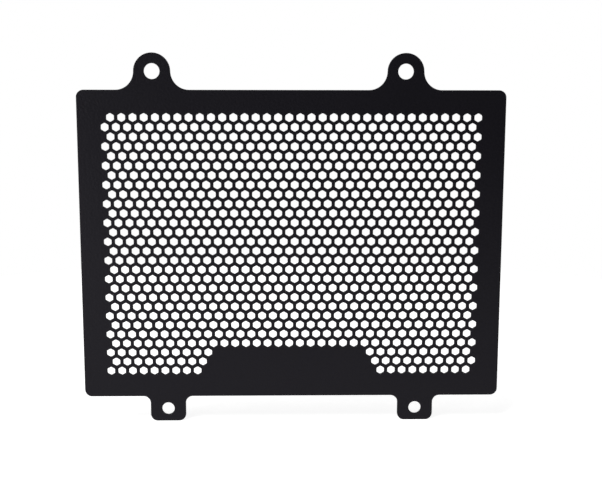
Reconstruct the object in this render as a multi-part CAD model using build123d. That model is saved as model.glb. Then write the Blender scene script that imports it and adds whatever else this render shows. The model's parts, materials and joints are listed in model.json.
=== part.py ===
from build123d import *
from math import floor, radians, sqrt, tan
import os

# Motorcycle radiator guard: one flat aluminium sheet, cut in a single piece and coated black.
# It stands as it does on the machine, bolted to the front of the radiator: X runs across the machine,
# Y runs back towards the radiator and Z is up. The origin is the middle of the panel, on its back face.
# Sizes are in millimetres.

# Sheet and panel
SHEET_THICKNESS = 1.5
PANEL_WIDTH = 234.5
PANEL_HEIGHT = 172.5
PANEL_CORNER_RADIUS = 4.0

# Honeycomb of six-sided openings, a corner of each pointing up
CELL_ACROSS_FLATS = 6.85
WEB_WIDTH = 3.0
BORDER_WIDTH = 12.0  # solid band that the openings leave all round, at its narrowest

# Plain patch left uncut at the foot of the honeycomb, with ends that slope along the lines of cells
PATCH_HEIGHT = 28.0  # above the panel's lower edge
PATCH_TOP_WIDTH = 82.5
PATCH_END_ANGLE = 60.0

# Upper ears, a pair that sits to one side of the panel's middle
UPPER_BOLT_SPACING = 138.0
UPPER_BOLT_OFFSET = -7.0
UPPER_HOLE_DIAMETER = 8.5
EAR_RIM = 5.75  # metal round the hole
EAR_HOLE_RISE = 10.0  # hole's centre above the panel's upper edge; the ear's roots sweep up to its level

# Lower tabs, a pair centred on the panel
LOWER_BOLT_SPACING = 140.5
LOWER_HOLE_DIAMETER = 7.0
TAB_SIDE_RIM = 6.5  # metal beside the hole
TAB_END_RIM = 3.75  # metal below the hole
TAB_HOLE_DROP = 7.25  # hole's centre below the panel's lower edge
TAB_CORNER_RADIUS = 4.0
TAB_ROOT_RADIUS = 4.0

UPPER_EDGE = PANEL_HEIGHT / 2
LOWER_EDGE = -PANEL_HEIGHT / 2


def pair(spacing, middle, height):
    """Centres of two holes on a level line."""
    return [(middle - spacing / 2, height), (middle + spacing / 2, height)]


def root_fillets(width, radius):
    """The two concave fillets where a lug of this width stands up from an edge along y = 0."""
    corner = Rectangle(radius, radius, align=Align.MIN) - Pos(radius, radius) * Circle(radius)
    right = Pos(width / 2, 0) * corner
    return right + mirror(right, about=Plane.YZ)


def ear_outline():
    """A round-headed lug with sweeping roots, above the upper edge; its hole's centre is the origin."""
    radius = UPPER_HOLE_DIAMETER / 2 + EAR_RIM
    neck = Rectangle(2 * radius, EAR_HOLE_RISE, align=(Align.CENTER, Align.MAX))
    roots = root_fillets(2 * radius, EAR_HOLE_RISE)
    return Circle(radius) + neck + Pos(0, -EAR_HOLE_RISE) * roots


def tab_outline():
    """A lug with a square end and rounded corners, below the lower edge; its hole's centre is the origin."""
    width = LOWER_HOLE_DIAMETER + 2 * TAB_SIDE_RIM
    end = -LOWER_HOLE_DIAMETER / 2 - TAB_END_RIM
    depth = TAB_HOLE_DROP - end
    blank = Pos(0, end) * Rectangle(width, depth, align=(Align.CENTER, Align.MIN))
    end_corners = blank.vertices().group_by(Axis.Y)[0]
    roots = mirror(root_fillets(width, TAB_ROOT_RADIUS), about=Plane.XZ)
    return fillet(end_corners, TAB_CORNER_RADIUS) + Pos(0, TAB_HOLE_DROP) * roots


def in_plain_patch(x, z):
    """Whether a point lies in the plain patch at the foot of the honeycomb."""
    below_top = LOWER_EDGE + PATCH_HEIGHT - z
    half_width = PATCH_TOP_WIDTH / 2 + below_top / tan(radians(PATCH_END_ANGLE))
    return below_top > 0 and abs(x) < half_width


def cell_centres():
    """Centres of the honeycomb's openings: level rows, each half a pitch along from the one above."""
    pitch = CELL_ACROSS_FLATS + WEB_WIDTH
    row_pitch = pitch * sqrt(3) / 2
    cell_height = CELL_ACROSS_FLATS * 2 / sqrt(3)
    room_x = PANEL_WIDTH - 2 * BORDER_WIDTH - CELL_ACROSS_FLATS
    room_z = PANEL_HEIGHT - 2 * BORDER_WIDTH - cell_height
    columns = floor(room_x / pitch + 0.5)
    rows = floor(room_z / row_pitch) + 1
    centres = []
    for row in range(rows):
        z = ((rows - 1) / 2 - row) * row_pitch
        shift = pitch / 4 if row % 2 == 0 else -pitch / 4
        for column in range(columns):
            x = (column - (columns - 1) / 2) * pitch + shift
            if not in_plain_patch(x, z):
                centres.append((x, z))
    return centres


def guard_panel():
    """The whole guard: outline, bolt holes and honeycomb, drawn on the back face and given its thickness."""
    upper_holes = pair(UPPER_BOLT_SPACING, UPPER_BOLT_OFFSET, UPPER_EDGE + EAR_HOLE_RISE)
    lower_holes = pair(LOWER_BOLT_SPACING, 0, LOWER_EDGE - TAB_HOLE_DROP)

    outline = RectangleRounded(PANEL_WIDTH, PANEL_HEIGHT, PANEL_CORNER_RADIUS)
    outline += [Pos(*centre) * ear_outline() for centre in upper_holes]
    outline += [Pos(*centre) * tab_outline() for centre in lower_holes]

    cell = RegularPolygon(CELL_ACROSS_FLATS / 2, side_count=6, major_radius=False, rotation=30)
    openings = [Pos(*centre) * cell for centre in cell_centres()]
    openings += [Pos(*centre) * Circle(UPPER_HOLE_DIAMETER / 2) for centre in upper_holes]
    openings += [Pos(*centre) * Circle(LOWER_HOLE_DIAMETER / 2) for centre in lower_holes]

    back_face = Face(outline.face().outer_wire(), [opening.wire() for opening in openings])
    return extrude(Plane.XZ * back_face, SHEET_THICKNESS)


os.makedirs("parts", exist_ok=True)
panel = guard_panel()
panel.label = "guard_panel"
export_step(panel, "parts/guard_panel.step")
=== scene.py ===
"""Dresses the motorcycle radiator guard: a honeycomb sheet, coated satin black, in a white studio."""

import json
import math

import bmesh
import bpy
from bpy.props import FloatProperty, FloatVectorProperty, IntProperty, PointerProperty
from mathutils import Matrix, Vector


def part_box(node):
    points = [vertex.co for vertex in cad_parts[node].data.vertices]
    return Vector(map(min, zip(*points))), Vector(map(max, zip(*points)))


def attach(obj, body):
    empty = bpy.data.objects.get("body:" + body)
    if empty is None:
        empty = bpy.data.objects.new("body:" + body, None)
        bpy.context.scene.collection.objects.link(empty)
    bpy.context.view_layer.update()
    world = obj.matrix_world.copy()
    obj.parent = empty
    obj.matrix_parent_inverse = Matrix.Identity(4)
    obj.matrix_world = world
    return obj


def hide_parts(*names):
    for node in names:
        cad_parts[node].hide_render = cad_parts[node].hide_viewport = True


bl_info = {
    "name": "Radiator Guard",
    "version": (1, 0, 0),
    "blender": (4, 5, 0),
    "location": "View3D > Sidebar > Guard",
    "description": "Cuts a honeycomb radiator guard over its solid, coats it and sets a white studio",
    "category": "Object",
}

# The frame
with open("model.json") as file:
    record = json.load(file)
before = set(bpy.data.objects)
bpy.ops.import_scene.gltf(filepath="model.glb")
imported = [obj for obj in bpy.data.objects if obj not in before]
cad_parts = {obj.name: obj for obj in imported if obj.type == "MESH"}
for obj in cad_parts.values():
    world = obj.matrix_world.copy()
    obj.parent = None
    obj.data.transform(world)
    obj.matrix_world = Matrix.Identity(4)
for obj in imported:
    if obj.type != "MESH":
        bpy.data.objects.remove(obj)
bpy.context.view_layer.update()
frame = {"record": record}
NODE = "guard_panel"
BODY = "root"
SHEET_LOW, SHEET_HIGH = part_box(NODE)
MOUNTS = {mount["name"]: mount for mount in frame["record"]["mounts"]}

# The sheet's mesh, which is laid flat in millimetres with its thickness along Z, and then stood up in metres
MM = 0.001
WELD = 0.01  # vertices nearer to each other than this become one
COLLAR_SHARE = 0.25  # width of the ring laid round a bolt hole, as a share of the corner radius
STRIP_SHARE = 0.2  # width of the strip laid along the outline, as a share of the corner radius
FLATNESS = 0.999  # a face whose normal keeps this much of Z lies on the sheet's front or back
SHARP_ANGLE = math.radians(50)  # edges that turn further than this are shaded sharp

# Shading and studio
WHITE = (1, 1, 1, 1)
NOISE_MIDDLE = 0.5  # value about which a noise texture varies
MIX_DEEP, MIX_PALE, MIX_RESULT = 6, 7, 2  # a Mix node's two colours and its colour output, by number
FLOOR_SIDES = 96
SENSOR_WIDTH = 36  # millimetres


def bolt_pair(name):
    """Places of a pair of bolt holes as (x, z), from left to right, and their radius, all in millimetres."""
    mount = MOUNTS[name]
    x, _, z = (value / MM for value in mount["pos_m"])
    half = mount["dims"]["spacing_x_mm"] / 2
    return [(x - half, z), (x + half, z)], mount["dims"]["hole_r_mm"]


EAR_BOLTS, EAR_HOLE_RADIUS = bolt_pair("upper_bolts")
TAB_BOLTS, TAB_HOLE_RADIUS = bolt_pair("lower_bolts")


def length(name, description, default):
    """A length that the user may change, in metres."""
    return FloatProperty(
        name=name, description=description, default=default, unit="LENGTH", min=0, precision=5
    )


def angle(name, description, default):
    """An angle that the user may change, given in degrees."""
    return FloatProperty(name=name, description=description, default=math.radians(default), subtype="ANGLE")


def share(name, description, default):
    """A number from 0 to 1 that the user may change."""
    return FloatProperty(name=name, description=description, default=default, subtype="FACTOR", min=0, max=1)


def tone(name, description, default):
    """A colour that the user may change."""
    return FloatVectorProperty(
        name=name, description=description, default=default, subtype="COLOR", min=0, max=1
    )


def spot(name, description, default):
    """A place that the user may change, in metres."""
    return FloatVectorProperty(
        name=name, description=description, default=default, subtype="TRANSLATION", unit="LENGTH", precision=5
    )


def power(name, description, default):
    """A lamp's power that the user may change, in watts."""
    return FloatProperty(
        name=name, description=description, default=default, subtype="POWER", unit="POWER", min=0
    )


def count(name, description, default, least, most):
    """A whole number that the user may change."""
    return IntProperty(name=name, description=description, default=default, min=least, max=most)


class GuardSheetSettings(bpy.types.PropertyGroup):
    """Sizes of the cut sheet."""

    panel_width: length("Panel width", "Width of the rectangular panel", SHEET_HIGH.x - SHEET_LOW.x)
    panel_height: length("Panel height", "Height of the panel without its ears and tabs", 0.1725)
    thickness: length("Thickness", "Thickness of the sheet", SHEET_HIGH.y - SHEET_LOW.y)
    corner_radius: length("Corner radius", "Radius of the panel's and tabs' corners and tabs' roots", 0.004)
    ear_radius: length("Ear radius", "Radius of the ears' round heads and of their roots", 0.010)
    tab_width: length("Tab width", "Width of each lower tab", 0.020)
    cell: length("Cell", "Width of an opening across its flats", 0.00425)
    cell_corner: length("Cell corner", "Radius of an opening's corners", 0.0005)
    web: length("Web", "Metal between two openings", 0.00185)
    border: length("Border", "Solid band round the honeycomb, at its narrowest", 0.012)
    patch_height: length("Patch height", "Top of the plain patch above the panel's lower edge", 0.028)
    patch_width: length("Patch width", "Width of the plain patch along its top", 0.0825)
    edge_radius: length("Edge radius", "Rounding that the coat gives to every cut edge", 0.00022)
    edge_steps: count("Edge steps", "Facets across a rounded edge", 1, least=1, most=4)
    arc_steps: count("Arc steps", "Facets round a quarter circle", 12, least=3, most=48)


class GuardCoatSettings(bpy.types.PropertyGroup):
    """Look of the powder coat."""

    deep: tone("Deep tone", "Coat where it lies thickest", (0.0034, 0.0031, 0.0046))
    pale: tone("Pale tone", "Coat where it lies thinnest", (0.0046, 0.0042, 0.0062))
    roughness: share("Roughness", "Mean roughness of the satin surface", 0.42)
    sheen_tint: tone("Sheen tint", "Tint of the coat's reflections", (0.94, 0.90, 1.0))
    specular: share("Specular", "Specular level of the coat", 0.16)
    drift_size: length("Drift size", "Width of the slow drifts in the coat's tone", 0.045)
    drift_tone: share("Drift tone", "Share of the change of tone that comes from the drifts", 0.5)
    drift_roughness: share("Drift roughness", "Change of roughness over a drift", 0.08)
    peel_size: length("Peel size", "Width of the coat's orange-peel ripples", 0.0014)
    peel_depth: length("Peel depth", "Depth of the ripples", 0.00008)
    grain_size: length("Grain size", "Width of the coat's fine grains", 0.00028)
    grain_depth: share("Grain depth", "Depth of the grains as a share of the ripples' depth", 0.25)
    grain_roughness: share("Grain roughness", "Change of roughness over a grain", 0.10)


class GuardStudioSettings(bpy.types.PropertyGroup):
    """Floor, light and camera."""

    floor_radius: length("Floor radius", "Radius of the round floor", 0.5)
    floor_albedo: share("Floor albedo", "Share of its light that the floor gives back", 0.5)
    floor_glow: share("Floor glow", "Light that the floor adds where a camera or reflection sees it", 0.88)
    room_level: share("Room level", "Brightness of the room all round", 0.13)
    backdrop_turn: share("Backdrop turn", "How far back a reflection points to see the backdrop in full", 0.6)
    key_spot: spot("Key spot", "Where the main soft box hangs", (-0.9, -0.8, 1.8))
    key_size: length("Key size", "Width of the main soft box", 1.2)
    key_power: power("Key power", "Light of the main soft box", 42)
    side_spot: spot("Side spot", "Where the soft box at the left hangs", (-0.92, -0.98, -0.06))
    side_size: length("Side size", "Width of the soft box at the left", 0.4)
    side_power: power("Side power", "Light of the soft box at the left", 9.5)
    camera_spot: spot("Camera spot", "Where the camera stands", (-0.00877, -0.61616, 0.1046))
    camera_heading: angle("Camera heading", "Turn of the camera about the vertical", -1.288)
    camera_tilt: angle("Camera tilt", "How far the camera looks down", 9.839)
    camera_roll: angle("Camera roll", "Turn of the camera about its own axis", 0.126)
    camera_lens: FloatProperty(
        name="Camera lens", description="Focal length", default=66.97, subtype="DISTANCE_CAMERA", min=1
    )


class Signal:
    """A node's output socket. Arithmetic on it adds Math nodes, and node() adds any other kind of node."""

    def __init__(self, tree, socket=None):
        self.tree = tree
        self.socket = socket

    def node(self, kind, settings=None, inputs=None, output=0):
        """Adds a node, sets its settings and then its sockets, and returns one of its outputs."""
        made = self.tree.nodes.new(kind)
        for name, value in (settings or {}).items():
            setattr(made, name, value)
        for name, value in (inputs or {}).items():
            if isinstance(value, Signal):
                self.tree.links.new(value.socket, made.inputs[name])
            else:
                made.inputs[name].default_value = value
        return Signal(self.tree, made.outputs[output] if len(made.outputs) else None)

    def math(self, operation, first, second):
        """Adds one Math node."""
        return self.node("ShaderNodeMath", {"operation": operation}, {0: first, 1: second})

    def __add__(self, other):
        return self.math("ADD", self, other)

    __radd__ = __add__

    def __sub__(self, other):
        return self.math("SUBTRACT", self, other)

    def __rsub__(self, other):
        return self.math("SUBTRACT", other, self)

    def __mul__(self, other):
        return self.math("MULTIPLY", self, other)

    __rmul__ = __mul__


def new_tree(owner):
    """Empties the nodes of a material or a world and returns the start of its signals."""
    owner.use_nodes = True
    owner.node_tree.nodes.clear()
    return Signal(owner.node_tree)


def new_object(name, bm, material):
    """Puts a finished mesh into the scene under a name, with its material."""
    mesh = bpy.data.meshes.new(name)
    bm.to_mesh(mesh)
    bm.free()
    mesh.materials.append(material)
    made = bpy.data.objects.new(name, mesh)
    bpy.context.scene.collection.objects.link(made)
    return made


def in_plain_patch(sheet, x, z):
    """Whether a point, in millimetres, lies in the plain patch, whose ends slope at 60 degrees."""
    below_top = (sheet.patch_height - sheet.panel_height / 2) / MM - z
    return below_top > 0 and abs(x) < sheet.patch_width / 2 / MM + below_top / math.sqrt(3)


def cell_centres(sheet):
    """Centres of the openings in millimetres: level rows, each set half a pitch along from the one above."""
    cell, pitch, border = sheet.cell / MM, (sheet.cell + sheet.web) / MM, sheet.border / MM
    row_pitch = pitch * math.sqrt(3) / 2
    # Rows stand a quarter of a pitch to either side of the middle, so each has half a pitch less room
    columns = math.floor((sheet.panel_width / MM - 2 * border - cell) / pitch + 0.5)
    rows = math.floor((sheet.panel_height / MM - 2 * border - cell * 2 / math.sqrt(3)) / row_pitch) + 1
    for row in range(rows):
        z = ((rows - 1) / 2 - row) * row_pitch
        shift = pitch / 4 if row % 2 == 0 else -pitch / 4
        for column in range(columns):
            x = (column - (columns - 1) / 2) * pitch + shift
            if not in_plain_patch(sheet, x, z):
                yield x, z


def open_middles(bm, faces, margin):
    """Takes the middles out of faces, leaving a margin. Returns the outer and inner edges of what stays."""
    rims = bmesh.ops.inset_individual(bm, faces=faces, thickness=margin, use_even_offset=True)["faces"]
    outer = [edge for face in rims for edge in face.edges if edge.is_boundary]
    inner = [edge for face in faces for edge in face.edges]
    bmesh.ops.delete(bm, geom=faces, context="FACES_ONLY")
    return outer, inner


def lay_honeycomb(bm, sheet):
    """Tiles the field with six-sided cells and opens each. Returns the zigzag edge round the field."""
    reach = (sheet.cell + sheet.web) / MM / math.sqrt(3)
    for x, z in cell_centres(sheet):
        place = Matrix.Translation((x, z, 0))
        bmesh.ops.create_circle(bm, cap_ends=True, segments=6, radius=reach, matrix=place)
    bmesh.ops.remove_doubles(bm, verts=bm.verts[:], dist=WELD)
    tiles = bm.faces[:]
    bmesh.ops.inset_individual(bm, faces=tiles, thickness=sheet.web / MM / 2, use_even_offset=True)
    # A round of this radius takes this much of each side of a corner that turns by 60 degrees
    cut_back = sheet.cell_corner / MM * math.tan(math.pi / 6)
    bmesh.ops.bevel(
        bm, geom=[vert for tile in tiles for vert in tile.verts], offset=cut_back, offset_type="OFFSET",
        affect="VERTICES", segments=1, profile=0.5, clamp_overlap=False, material=-1,
    )
    zigzag = [edge for edge in bm.edges if edge.is_boundary]
    # With its corners cut, an opening has more sides than the metal round it
    most = max(len(face.verts) for face in bm.faces)
    openings = [face for face in bm.faces if len(face.verts) == most]
    bmesh.ops.delete(bm, geom=openings, context="FACES_ONLY")
    return zigzag


def lay_bolt_hole(bm, sheet, place, radius):
    """Adds a ring of metal round a bolt hole. Returns the ring's outer edge."""
    collar = COLLAR_SHARE * sheet.corner_radius / MM
    made = bmesh.ops.create_circle(
        bm, cap_ends=True, segments=4 * sheet.arc_steps, radius=radius + collar,
        matrix=Matrix.Translation((*place, 0)),
    )
    ring, _ = open_middles(bm, made["verts"][0].link_faces[:], collar)
    return ring


def lug_corners(x, half_width, root, end):
    """Corners of a square lug that stands out from the panel's edge, from left to right."""
    return [(x - half_width, root), (x - half_width, end), (x + half_width, end), (x + half_width, root)]


def lay_outline(bm, sheet):
    """Adds a strip of metal along the guard's outline, with its corners rounded. Returns its inner edge."""
    side, top = sheet.panel_width / 2 / MM, sheet.panel_height / 2 / MM
    ear_radius, corner_radius = sheet.ear_radius / MM, sheet.corner_radius / MM
    ears, tabs = [], []
    for x, z in EAR_BOLTS:
        ears += lug_corners(x, ear_radius, top, z + ear_radius)
    for x, _ in TAB_BOLTS:
        tabs += lug_corners(x, sheet.tab_width / 2 / MM, -top, SHEET_LOW.z / MM)
    corners = [(-side, top), *ears, (side, top), (side, -top), *reversed(tabs), (-side, -top)]
    verts = [bm.verts.new((x, z, 0)) for x, z in corners]
    bm.faces.new(reversed(verts))  # anticlockwise, so that the face looks up
    ear_verts = verts[1:1 + len(ears)]
    other_verts = [vert for vert in verts if vert not in ear_verts]
    for corner_verts, radius in ((ear_verts, ear_radius), (other_verts, corner_radius)):
        rounded = bmesh.ops.bevel(
            bm, geom=corner_verts, offset=radius, offset_type="OFFSET", affect="VERTICES",
            segments=sheet.arc_steps, profile=0.5, clamp_overlap=False, material=-1,
        )
        bmesh.ops.remove_doubles(bm, verts=rounded["verts"], dist=WELD)
    outline_face = max(bm.faces, key=lambda face: len(face.verts))
    _, strip = open_middles(bm, [outline_face], STRIP_SHARE * corner_radius)
    return strip


def fill_between(bm, edges):
    """Fills the flat metal between closed edges, and stops if any of them stays open."""
    bmesh.ops.triangle_fill(bm, use_beauty=True, use_dissolve=False, edges=edges, normal=(0, 0, 1))
    if any(edge.is_boundary for edge in edges):
        raise RuntimeError("the metal round the honeycomb did not fill")


def thicken(bm, thickness):
    """Gives the flat sheet its thickness, towards the front."""
    grown = bmesh.ops.extrude_face_region(bm, geom=bm.faces[:])["geom"]
    front = [item for item in grown if isinstance(item, bmesh.types.BMVert)]
    bmesh.ops.translate(bm, verts=front, vec=(0, 0, thickness))
    bmesh.ops.recalc_face_normals(bm, faces=bm.faces[:])


def is_flat(face):
    """Whether a face lies on the sheet's front or back, and not on a cut wall or a rounded edge."""
    return abs(face.normal.z) > FLATNESS


def round_cut_edges(bm, sheet):
    """Rounds the edges between the sheet's two faces and its cut walls, and shades the rounds smooth."""
    bm.normal_update()
    cut = [edge for edge in bm.edges if len({is_flat(face) for face in edge.link_faces}) == 2]
    bmesh.ops.bevel(
        bm, geom=cut, offset=sheet.edge_radius / MM, offset_type="OFFSET", affect="EDGES",
        segments=sheet.edge_steps, profile=0.5, clamp_overlap=False, loop_slide=True, material=-1,
    )
    bm.normal_update()
    for face in bm.faces:
        face.smooth = not is_flat(face)
    for edge in bm.edges:
        edge.smooth = edge.calc_face_angle(math.pi) < SHARP_ANGLE


def powder_coat(coat):
    """Satin black powder coat: slow drifts in its tone, orange-peel ripples and a fine grain."""
    material = bpy.data.materials.new("satin_black_powder_coat")
    start = new_tree(material)
    place = start.node("ShaderNodeTexCoord", output="Object")

    def noise(size, detail):
        """Soft noise about NOISE_MIDDLE, with blots of one size."""
        inputs = {"Vector": place, "Scale": 1 / size, "Detail": detail}
        return start.node("ShaderNodeTexNoise", None, inputs, "Fac")

    drift = noise(coat.drift_size, detail=2)
    peel = noise(coat.peel_size, detail=1)
    grain = noise(coat.grain_size, detail=2)
    tone_mix = coat.drift_tone * drift + (1 - coat.drift_tone) * grain
    colour = start.node(
        "ShaderNodeMix", {"data_type": "RGBA"},
        {"Factor": tone_mix, MIX_DEEP: (*coat.deep, 1), MIX_PALE: (*coat.pale, 1)}, MIX_RESULT,
    )
    roughness = coat.roughness + coat.drift_roughness * (drift - NOISE_MIDDLE)
    roughness += coat.grain_roughness * (grain - NOISE_MIDDLE)
    bump = start.node(
        "ShaderNodeBump", None, {"Distance": coat.peel_depth, "Height": peel + coat.grain_depth * grain}
    )
    surface = start.node(
        "ShaderNodeBsdfPrincipled", None,
        {"Base Color": colour, "Roughness": roughness, "Specular IOR Level": coat.specular,
         "Specular Tint": (*coat.sheen_tint, 1), "Normal": bump},
    )
    start.node("ShaderNodeOutputMaterial", None, {"Surface": surface})
    return material


class GUARD_OT_sheet(bpy.types.Operator):
    """Cut the honeycomb sheet, round its edges and coat it"""

    bl_idname = "guard.sheet"
    bl_label = "Cut and coat the sheet"

    def execute(self, context):
        sheet = context.scene.guard_sheet
        bm = bmesh.new()
        edges = lay_honeycomb(bm, sheet)
        for places, radius in ((EAR_BOLTS, EAR_HOLE_RADIUS), (TAB_BOLTS, TAB_HOLE_RADIUS)):
            for place in places:
                edges += lay_bolt_hole(bm, sheet, place, radius)
        edges += lay_outline(bm, sheet)
        fill_between(bm, edges)
        thicken(bm, sheet.thickness / MM)
        round_cut_edges(bm, sheet)
        stand_up = Matrix.Rotation(math.pi / 2, 4, "X") @ Matrix.Scale(MM, 4)
        bmesh.ops.transform(bm, matrix=stand_up, verts=bm.verts[:])
        piece = new_object("honeycomb_sheet", bm, powder_coat(context.scene.guard_coat))
        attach(piece, BODY)
        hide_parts(NODE)
        return {"FINISHED"}


def grey(level):
    """An even grey from 0 to 1, with full alpha."""
    return (level, level, level, 1)


def ray_kind(start, name):
    """1 on one kind of ray, such as those from the camera, and 0 on the others."""
    return start.node("ShaderNodeLightPath", output=name)


def mirrored(start):
    """1 on rays from a reflection or through glass."""
    return ray_kind(start, "Is Glossy Ray") + ray_kind(start, "Is Transmission Ray")


def white_floor(studio):
    """Matt floor that glows white to the camera and in reflections, and still takes a shadow."""
    material = bpy.data.materials.new("white_floor")
    start = new_tree(material)
    matt = start.node("ShaderNodeBsdfDiffuse", None, {"Color": grey(studio.floor_albedo)})
    seen = ray_kind(start, "Is Camera Ray") + mirrored(start)
    glow = start.node("ShaderNodeEmission", None, {"Color": WHITE, "Strength": studio.floor_glow * seen})
    both = start.node("ShaderNodeAddShader", None, {0: matt, 1: glow})
    start.node("ShaderNodeOutputMaterial", None, {"Surface": both})
    return material


def lay_floor(studio):
    """Round white floor at the level of the guard's lowest point."""
    bm = bmesh.new()
    level = Matrix.Translation((0, 0, SHEET_LOW.z))
    bmesh.ops.create_circle(
        bm, cap_ends=True, segments=FLOOR_SIDES, radius=studio.floor_radius, matrix=level
    )
    new_object("studio_floor", bm, white_floor(studio))


def hang_soft_box(name, place, size, watts):
    """A square soft box that faces the origin, which is the middle of the panel."""
    light = bpy.data.lights.new(name, "AREA")
    light.shape = "SQUARE"
    light.size = size
    light.energy = watts
    lamp = bpy.data.objects.new(name, light)
    lamp.location = place
    lamp.rotation_euler = (-Vector(place)).to_track_quat("-Z", "Y").to_euler()
    bpy.context.scene.collection.objects.link(lamp)


def paint_room(studio):
    """Dim room with a white backdrop behind the guard, which the camera sees white on every side."""
    world = bpy.data.worlds.new("white_room")
    bpy.context.scene.world = world
    start = new_tree(world)
    direction = start.node("ShaderNodeTexCoord", output="Generated")
    backwards = start.node("ShaderNodeSeparateXYZ", None, {"Vector": direction}, "Y")
    backdrop_share = start.node(
        "ShaderNodeMapRange", {"interpolation_type": "SMOOTHSTEP"},
        {"Value": backwards, "From Max": studio.backdrop_turn},
    )
    seen = ray_kind(start, "Is Camera Ray") + mirrored(start) * backdrop_share
    level = studio.room_level + (1 - studio.room_level) * seen
    backdrop = start.node("ShaderNodeBackground", None, {"Color": WHITE, "Strength": level})
    start.node("ShaderNodeOutputWorld", None, {"Surface": backdrop})


def place_camera(studio):
    """Camera at the photograph's viewing angle."""
    data = bpy.data.cameras.new("camera")
    data.sensor_width = SENSOR_WIDTH
    data.lens = studio.camera_lens
    camera = bpy.data.objects.new("camera", data)
    heading = Matrix.Rotation(studio.camera_heading, 4, "Z")
    tilt = Matrix.Rotation(math.pi / 2 - studio.camera_tilt, 4, "X")
    roll = Matrix.Rotation(studio.camera_roll, 4, "Z")
    camera.matrix_world = Matrix.Translation(studio.camera_spot) @ heading @ tilt @ roll
    bpy.context.scene.collection.objects.link(camera)
    bpy.context.scene.camera = camera


class GUARD_OT_studio(bpy.types.Operator):
    """Lay the floor, hang the lights and place the camera"""

    bl_idname = "guard.studio"
    bl_label = "Set the studio"

    def execute(self, context):
        studio = context.scene.guard_studio
        lay_floor(studio)
        hang_soft_box("key_soft_box", studio.key_spot, studio.key_size, studio.key_power)
        hang_soft_box("side_soft_box", studio.side_spot, studio.side_size, studio.side_power)
        paint_room(studio)
        place_camera(studio)
        context.scene.view_settings.view_transform = "Standard"
        return {"FINISHED"}


class GUARD_PT_tools(bpy.types.Panel):
    """Lists the guard's settings and steps"""

    bl_idname = "GUARD_PT_tools"
    bl_label = "Radiator Guard"
    bl_space_type = "VIEW_3D"
    bl_region_type = "UI"
    bl_category = "Guard"

    def draw(self, context):
        for group in SETTINGS:
            box = self.layout.box()
            settings = getattr(context.scene, group)
            for name in SETTINGS[group].__annotations__:
                box.prop(settings, name)
        for operator in (GUARD_OT_sheet, GUARD_OT_studio):
            self.layout.operator(operator.bl_idname)


SETTINGS = {
    "guard_sheet": GuardSheetSettings,
    "guard_coat": GuardCoatSettings,
    "guard_studio": GuardStudioSettings,
}
CLASSES = (*SETTINGS.values(), GUARD_OT_sheet, GUARD_OT_studio, GUARD_PT_tools)


def register():
    """Registers the classes and gives the scene its settings."""
    for cls in CLASSES:
        bpy.utils.register_class(cls)
    for group, cls in SETTINGS.items():
        setattr(bpy.types.Scene, group, PointerProperty(type=cls))


def unregister():
    """Takes the settings and the classes away again."""
    for group in SETTINGS:
        delattr(bpy.types.Scene, group)
    for cls in reversed(CLASSES):
        bpy.utils.unregister_class(cls)


def main():
    """Makes the guard and its studio."""
    register()
    bpy.ops.guard.sheet()
    bpy.ops.guard.studio()


if __name__ == "__main__":
    main()
